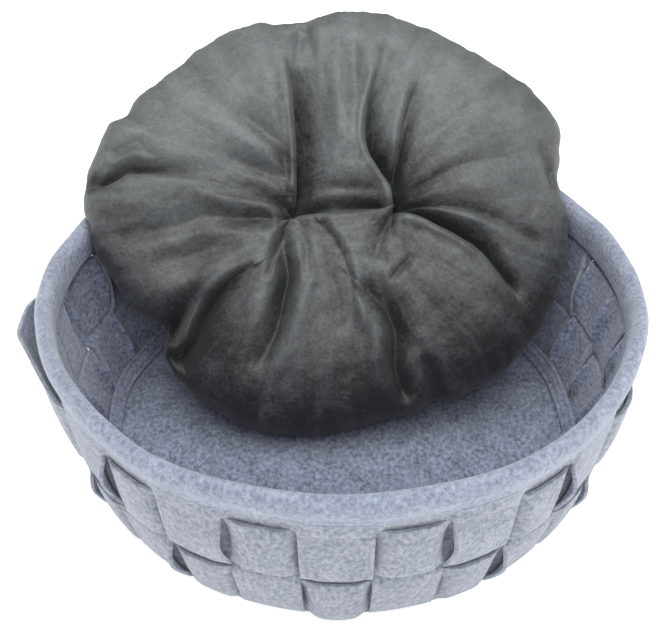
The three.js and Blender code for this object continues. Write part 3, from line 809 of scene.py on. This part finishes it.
def cushion_surface(spokes=720, upper_rings=190, lower_rings=40):
    """The cover in the cushion's own plane: the outline times a share that is 1 at the seam,
    crowned by (1 - share^2.6)^0.5, drawn in at the tufts and folds, then tilted and placed.
    Rings run from the middle of the underside over the seam to the middle of the upper side.
    Returns the grid, and for each point the pull of the tufts and its painted fold shade."""
    angle = np.linspace(0, 2 * math.pi, spokes, endpoint=False)
    outline = curve(np.degrees(angle), EDGE_DEGREES, EDGE_RADIUS)
    pucker = 0.5 * np.sin(31 * angle + 2 * np.sin(3 * angle)) + 0.3 * np.sin(53 * angle + 1.0)
    # rings lie closer together near the seam
    under = 1 - (1 - np.linspace(0, 1, lower_rings)) ** 1.7
    over = 1 - (1 - np.linspace(1, 0, upper_rings)[1:]) ** 1.5
    share = np.concatenate([under, over])
    upper = np.concatenate([np.zeros(lower_rings, bool), np.ones(upper_rings - 1, bool)])
    reach = share[:, None] * (outline + pucker * share[:, None] ** 6)[None, :]
    dome = np.sqrt(np.clip(1 - share ** 2.6, 0, 1))[:, None]
    height = np.where(upper[:, None], CROWN, -BELLY) * dome
    level = np.repeat(height.ravel(), spokes)
    top = np.repeat(upper, spokes)
    from_seam = 1 - np.repeat(share, spokes)
    flat = np.stack([(reach * np.cos(angle)).ravel(), (reach * np.sin(angle)).ravel()], axis=1)
    plan = flat[top]
    depth, ridge, shift = fold_relief(plan)
    for tuft in TUFTS:
        away = np.hypot(*(plan - tuft).T)
        depth = np.cbrt(depth ** 3 + (34 * np.exp(-(away / 12) ** 1.2)) ** 3)
        depth += 8 * np.exp(-(away / 55) ** 2)
    out = smoothstep(np.hypot(*(plan - TUFTS.mean(axis=0)).T), 20, 90)
    swell = (1.8 * soft_noise(plan, 95, 3) + 0.5 * soft_noise(plan, 34, 8)
             + 2.6 * out * soft_noise(pulled(plan), 0.55, 21, 2))
    edge = smoothstep(from_seam[top], 0.0, 0.06)
    level[top] += (-depth + ridge + swell) * edge
    # painted shade: how deep a fold is, less its ridge, so that the colour is painted dark in the
    # folds and light on the ridges
    pressed = np.zeros(len(flat))
    pressed[top] = np.clip((depth - 2 * ridge) / 22, -0.3, 1)
    # the seam: a crisp line where the two discs meet, with short gathers beside it
    gathers = soft_noise(np.stack([np.tile(angle, len(share)) * 200, 0.0 * level], axis=1), 16, 4)
    beside = np.exp(-(from_seam / 0.035) ** 2)
    level += 1.6 * gathers * beside * np.where(top, 1, 0.6)
    moved = flat.copy()
    moved[top] += shift * edge[:, None]
    # its left side is bent up by the wall it leans on
    level = level + 24 * smoothstep(-flat[:, 0], 110, 215)
    c, s = math.cos(CUSHION_TILT), math.sin(CUSHION_TILT)
    placed = np.stack([moved[:, 0], c * moved[:, 1] - s * level, s * moved[:, 1] + c * level],
                      axis=1)
    grid = clear_of_basket(placed + CUSHION_CENTRE).reshape(len(share), spokes, 3)
    return grid, {"pull": pulled(flat), "pressed": pressed}


def velour_material(name):
    """Knitted velour with a pile of 2 mm. The pile leans where it was stroked, so streaks
    along the pull of the folds look lighter or darker. Light and shade are painted in too:
    the upper part is painted lighter, the lower part and both sides painted darker, and
    the folds painted dark with a painted highlight on their ridges. All these are shares
    from the dark to the light colour, added up."""
    material, tree, shader = new_material(name)
    place = node(tree, "TexCoord").outputs["Object"]
    pull = node(tree, "Attribute", attribute_name="pull").outputs["Vector"]
    # painted light and shade: how high a place lies, less at either side, where the cover
    # turns from the light; the colour is painted lighter high up, darker low down and at the sides
    axes = node(tree, "SeparateXYZ", {0: place})
    aside = node(tree, "Math", {0: axes.outputs["X"], 1: 0.03}, operation="ADD")
    aside = node(tree, "Math", {0: aside.outputs[0]}, operation="ABSOLUTE")
    height = node(tree, "Math", {0: aside.outputs[0], 1: -0.33, 2: axes.outputs["Z"]},
                  operation="MULTIPLY_ADD")
    # painted light from above and painted shade below: the share of the light colour grows with
    # height
    painted_light_by_height = node(tree, "MapRange", {
        "Value": height.outputs[0], "From Min": 0.03, "From Max": 0.21,
        "To Min": 0.06, "To Max": 0.69})
    shades = [painted_light_by_height]
    # streaks along the folds, strokes of a hand of 2 to 5 cm, and clumps of the pile, 3 mm:
    # coordinates, scale, roughness, distortion, half the noise's span, and its weight
    for vector, scale, rough, bent, span, weight in (
            (pull, 9.0, 0.6, 0.5, 0.18, 0.16), (place, 30.0, 0.6, 0.6, 0.16, 0.09),
            (place, 330.0, 0.7, 0.6, 0.2, 0.2)):
        noise = node(tree, "TexNoise", {
            "Vector": vector, "Scale": scale, "Detail": 4.0, "Roughness": rough,
            "Distortion": bent})
        shades.append(node(tree, "MapRange", {
            "Value": noise.outputs["Fac"], "From Min": 0.5 - span, "From Max": 0.5 + span,
            "To Min": -weight, "To Max": weight}))
    clumps = noise.outputs["Fac"]
    # painted shade in the folds and a painted highlight on the ridges: the colour darkens where a
    # fold is deep and lightens on its ridge
    deep = node(tree, "Attribute", attribute_name="pressed").outputs["Fac"]
    shades.append(node(tree, "MapRange", {
        "Value": deep, "From Min": -0.3, "From Max": 1.0, "To Min": 0.12, "To Max": -0.55}))
    total = shades[0].outputs[0]
    for shade in shades[1:]:
        total = node(tree, "Math", {0: total, 1: shade.outputs[0]}, operation="ADD").outputs[0]
    body = node(tree, "Mix", {0: total, 6: linear(VELOUR_DARK), 7: linear(VELOUR_LIGHT)},
                data_type="RGBA", clamp_factor=True)
    # the pile, drawn at about 1 mm because the real tips of 0.1 mm are too fine to show
    pile = node(tree, "TexNoise", {
        "Vector": place, "Scale": 1000.0, "Detail": 3.0, "Roughness": 0.7})
    cloth_surface(
        tree, shader, body.outputs[2],
        [(clumps, 0.45, 0.0012), (pile.outputs["Fac"], 0.5, 0.0005)],
        {"Roughness": 0.55, "Specular IOR Level": 0.44, "Sheen Weight": 0.14,
         "Sheen Roughness": 0.5, "Sheen Tint": linear("#c5cccb")})
    return material


velour = velour_material("Velour, short pile")
cover_grid, cover_values = cushion_surface()
cushion = mesh_with_poles("cushion_cover", cover_grid, velour, cover_values)
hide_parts("cushion")

# Studio: the basket stands on seamless white paper, lit by large soft boxes from above
# and in front and by smaller ones at the sides, with an even, faint white surround.


def stage_floor(half=4.0):
    """A square white plane at the height of the basket's underside. It glows a little, so
    that it comes out as white as the photograph's."""
    mesh = bpy.data.meshes.new("studio_floor")
    corners = [(-half, -half, 0), (half, -half, 0), (half, half, 0), (-half, half, 0)]
    mesh.from_pydata(corners, [], [(0, 1, 2, 3)])
    material, tree, shader = new_material("White paper")
    grain = node(tree, "TexNoise", {
        "Vector": node(tree, "TexCoord").outputs["Object"], "Scale": 3.0})
    tone = node(tree, "Mix", {0: grain.outputs["Fac"], 6: linear("#fafafa"), 7: linear("#ffffff")},
                data_type="RGBA")
    tree.links.new(tone.outputs[2], shader.inputs["Base Color"])
    for key, value in {"Roughness": 1.0, "Specular IOR Level": 0.0, "Emission Strength": 0.3,
                       "Emission Color": linear("#ffffff")}.items():
        shader.inputs[key].default_value = value
    mesh.materials.append(material)
    made = bpy.data.objects.new("studio_floor", mesh)
    bpy.context.collection.objects.link(made)


def standing(place, right, above, back):
    """The matrix of an object at a place, turned so that these are its three axes."""
    axes = np.eye(4)
    axes[:3, :3] = np.stack([right, above, back], axis=1)
    axes[:3, 3] = place
    return Matrix(axes.tolist())


def soft_light(name, place, size, watts, target=(0, 0, 0.1)):
    """A square white area light that looks at a point inside the basket."""
    data = bpy.data.lights.new(name, "AREA")
    data.shape = "SQUARE"
    data.size = size
    data.energy = watts
    made = bpy.data.objects.new(name, data)
    back = np.array(place, float) - np.array(target, float)
    back /= np.linalg.norm(back)
    right = np.cross((0, 1, 0) if abs(back[2]) > 0.95 else (0, 0, 1), back)
    right /= np.linalg.norm(right)
    made.matrix_world = standing(place, right, np.cross(back, right), back)
    bpy.context.collection.objects.link(made)


stage_floor()
for name, place, size, watts in (
        ("overhead", (0, 0, 2.2), 2.0, 80), ("overhead_front", (0, -1.6, 1.7), 1.4, 35),
        ("front_right", (1.3, -1.6, 0.6), 1.2, 16), ("front_left", (-1.3, -1.6, 0.6), 1.2, 5),
        ("side_right", (2.0, 0.2, 0.5), 1.2, 14), ("side_left", (-2.0, 0.2, 0.5), 1.2, 16)):
    soft_light(name, place, size, watts)
world = bpy.data.worlds.new("Surround")
world.use_nodes = True
surround = world.node_tree.nodes["Background"].inputs
surround["Color"].default_value = linear("#ffffff")
surround["Strength"].default_value = 0.02
bpy.context.scene.world = world
bpy.context.scene.view_settings.view_transform = "Standard"

# Camera: in front of the basket, looking down at 38 degrees from 1 m. Its place, aim and
# lens are those that the photograph's rim, slits and foot fit; it isn't quite level.
FOCAL_PIXELS = 1100
PHOTO_WIDTH_PIXELS = 665
SENSOR = 36
CAMERA_PLACE = (-0.00197, -0.73807, 0.70437)
CAMERA_LOOKS = np.array([-0.00533513, 0.78568809, -0.61859984])
CAMERA_ROLL = math.radians(0.22)
right = np.cross(CAMERA_LOOKS, (0, 0, 1))
right /= np.linalg.norm(right)
above = np.cross(right, CAMERA_LOOKS)
c, s = math.cos(CAMERA_ROLL), math.sin(CAMERA_ROLL)
camera_data = bpy.data.cameras.new("camera")
camera_data.sensor_width = SENSOR
camera_data.lens = SENSOR * FOCAL_PIXELS / PHOTO_WIDTH_PIXELS
camera_data.clip_start, camera_data.clip_end = 0.02, 50
camera = bpy.data.objects.new("camera", camera_data)
camera.matrix_world = standing(
    CAMERA_PLACE, c * right - s * above, s * right + c * above, -CAMERA_LOOKS)
bpy.context.collection.objects.link(camera)
bpy.context.scene.camera = camera
